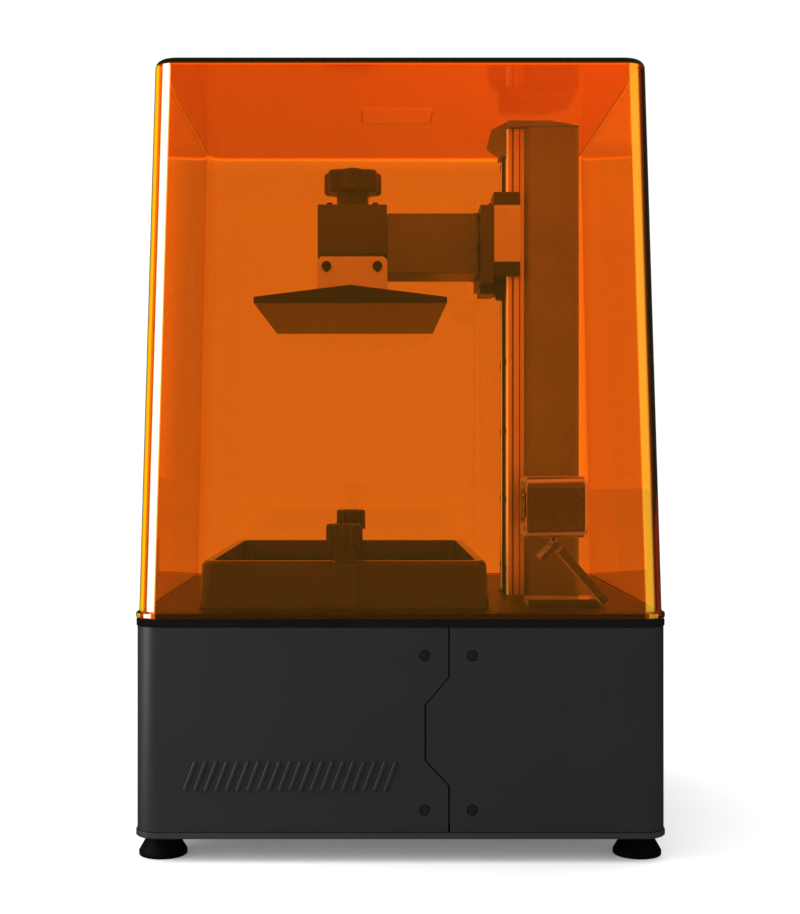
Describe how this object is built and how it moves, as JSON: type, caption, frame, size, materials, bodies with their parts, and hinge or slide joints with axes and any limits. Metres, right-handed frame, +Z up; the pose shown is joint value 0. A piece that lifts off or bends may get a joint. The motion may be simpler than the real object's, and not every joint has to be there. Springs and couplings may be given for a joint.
{
  "type": "resin printer",
  "caption": "Desktop resin printer with a lift-off orange cover, a lift arm with a build plate, a resin vat, and a small monitoring camera beside the column.",
  "frame": {"origin": "centre of the footprint, on the surface it stands on", "axes": "+Z up, front towards -Y, +X to the right of someone facing the front from behind it"},
  "size_m": [0.39, 0.4064, 0.6155],
  "materials": {
    "orange_acrylic": "clear orange acrylic",
    "dark_shell": "satin dark grey",
    "edge_strip": "satin grey",
    "black_plastic": "black",
    "camera_grey": "smooth dark grey",
    "vat_grey": "dark anodised, fine",
    "black_rubber": "matt black",
    "black_steel": "black oxide",
    "dark_glass": "black glass",
    "anodised": "dark anodised",
    "bare_aluminium": "satin",
    "steel": "ground",
    "motor_black": "black paint",
    "board_green": "circuit board",
    "clear_film": "clear release film"
  },
  "bodies": {
    "base": {"front_shell": "dark_shell", "rear_shell": "dark_shell", "top_plate": "dark_shell", "bottom_pan": "edge_strip", "uv_light_housing": "black_plastic", "fan_frame": "black_plastic", "power_inlet": "black_plastic", "usb_port": "black_plastic", "camera_stand_base": "camera_grey", "panel_screw_left_1": "black_steel", "panel_screw_left_2": "black_steel", "panel_screw_left_3": "black_steel", "panel_screw_left_4": "black_steel", "panel_screw_right_1": "black_steel", "panel_screw_right_2": "black_steel", "panel_screw_right_3": "black_steel", "panel_screw_right_4": "black_steel", "side_bracket_left": "black_steel", "side_bracket_right": "black_steel", "lcd_screen": "dark_glass", "touchscreen": "dark_glass", "column": "anodised", "column_cap": "anodised", "led_heatsink": "bare_aluminium", "uv_led_array": "bare_aluminium", "rail_left": "steel", "rail_right": "steel", "motor_bracket": "steel", "power_supply": "steel", "z_motor": "motor_black", "mainboard": "board_green"},
    "carriage": {"carriage_plate": "anodised", "carriage_block_left": "bare_aluminium", "carriage_block_right": "bare_aluminium", "arm": "anodised", "arm_head": "anodised", "lead_nut": "black_plastic"},
    "screw": {"lead_screw": "black_steel", "shaft_coupler": "bare_aluminium"},
    "pad": {"clamp_pad": "steel"},
    "knob": {"plate_knob": "black_plastic"},
    "carrier": {"plate_carrier": "anodised", "plate_bolt_1": "black_steel", "plate_bolt_2": "black_steel"},
    "plate": {"build_plate": "anodised", "plate_bracket": "bare_aluminium"},
    "tray": {"vat": "vat_grey", "vat_film": "clear_film"},
    "vat_knob_left_body": {"vat_knob_left": "black_plastic"},
    "vat_knob_right_body": {"vat_knob_right": "black_plastic"},
    "hood": {"cover": "orange_acrylic"},
    "fan": {"fan_rotor": "black_plastic"},
    "rocker": {"power_switch": "black_plastic"},
    "stand": {"camera_stand_arm": "camera_grey"},
    "link": {"camera_stand_link": "camera_grey"},
    "camera": {"camera_housing": "camera_grey"},
    "foot_front_left": {"leveling_foot_front_left": "black_rubber"},
    "foot_front_right": {"leveling_foot_front_right": "black_rubber"},
    "foot_rear_left": {"leveling_foot_rear_left": "black_rubber"},
    "foot_rear_right": {"leveling_foot_rear_right": "black_rubber"}
  },
  "joints": [
    {"name": "cover_lift", "type": "slide", "parent": "base", "child": "hood", "axis": [0, 0, 1], "range_m": [0, 0.43]},
    {"name": "z_travel", "type": "slide", "parent": "base", "child": "carriage", "axis": [0, 0, 1], "range_m": [-0.239, 0.03]},
    {"name": "screw_turn", "type": "hinge", "parent": "base", "child": "screw", "pos_m": [0, 0.0975, 0.38], "axis": [0, 0, 1], "range_deg": [-10900, 1400]},
    {"name": "knob_turn", "type": "hinge", "parent": "pad", "child": "knob", "pos_m": [0, -0.0392, 0.54], "axis": [0, 0, 1], "range_deg": [0, 541]},
    {"name": "pad_slide", "type": "slide", "parent": "carriage", "child": "pad", "axis": [0, 0, 1], "range_m": [0, 0.00225]},
    {"name": "plate_slide", "type": "slide", "parent": "carriage", "child": "carrier", "axis": [0, -1, 0], "range_m": [0, 0.028]},
    {"name": "plate_level", "type": "slide", "parent": "carrier", "child": "plate", "axis": [0, 0, 1], "range_m": [-0.001, 0.001]},
    {"name": "vat_slide", "type": "slide", "parent": "base", "child": "tray", "axis": [0, -1, 0], "range_m": [0, 0.02]},
    {"name": "vat_knob_left_turn", "type": "hinge", "parent": "base", "child": "vat_knob_left_body", "pos_m": [-0.1615, -0.0434, 0.24], "axis": [0, 0, 1], "range_deg": [0, 720]},
    {"name": "vat_knob_right_turn", "type": "hinge", "parent": "base", "child": "vat_knob_right_body", "pos_m": [0.1615, -0.0434, 0.24], "axis": [0, 0, 1], "range_deg": [0, 720]},
    {"name": "fan_spin", "type": "hinge", "parent": "base", "child": "fan", "pos_m": [0, -0.042, 0.047], "axis": [0, 0, 1], "continuous": true},
    {"name": "power_rock", "type": "hinge", "parent": "base", "child": "rocker", "pos_m": [-0.093, 0.196, 0.0515], "axis": [1, 0, 0], "range_deg": [-14, 0]},
    {"name": "stand_fold", "type": "hinge", "parent": "base", "child": "stand", "pos_m": [0.1175, 0.165, 0.1922], "axis": [1, 0, 0], "range_deg": [-15, 8]},
    {"name": "head_tilt", "type": "hinge", "parent": "stand", "child": "link", "pos_m": [0.1175, 0.1247, 0.237], "axis": [1, 0, 0], "range_deg": [-20, 25]},
    {"name": "head_pan", "type": "hinge", "parent": "link", "child": "camera", "pos_m": [0.1175, 0.1247, 0.2439], "axis": [0, 0, 1], "range_deg": [-60, 60]},
    {"name": "foot_front_left_turn", "type": "hinge", "parent": "base", "child": "foot_front_left", "pos_m": [-0.165, -0.184, 0.01], "axis": [0, 0, 1], "range_deg": [0, 360]},
    {"name": "foot_front_right_turn", "type": "hinge", "parent": "base", "child": "foot_front_right", "pos_m": [0.165, -0.184, 0.01], "axis": [0, 0, 1], "range_deg": [0, 360]},
    {"name": "foot_rear_left_turn", "type": "hinge", "parent": "base", "child": "foot_rear_left", "pos_m": [-0.165, 0.184, 0.01], "axis": [0, 0, 1], "range_deg": [0, 360]},
    {"name": "foot_rear_right_turn", "type": "hinge", "parent": "base", "child": "foot_rear_right", "pos_m": [0.165, 0.184, 0.01], "axis": [0, 0, 1], "range_deg": [0, 360]}
  ],
  "couplings": [
    {"joint": "screw_turn", "follows": "z_travel", "rad_per_m": 785.4},
    {"joint": "knob_turn", "follows": "pad_slide", "rad_per_m": 4188.8}
  ]
}
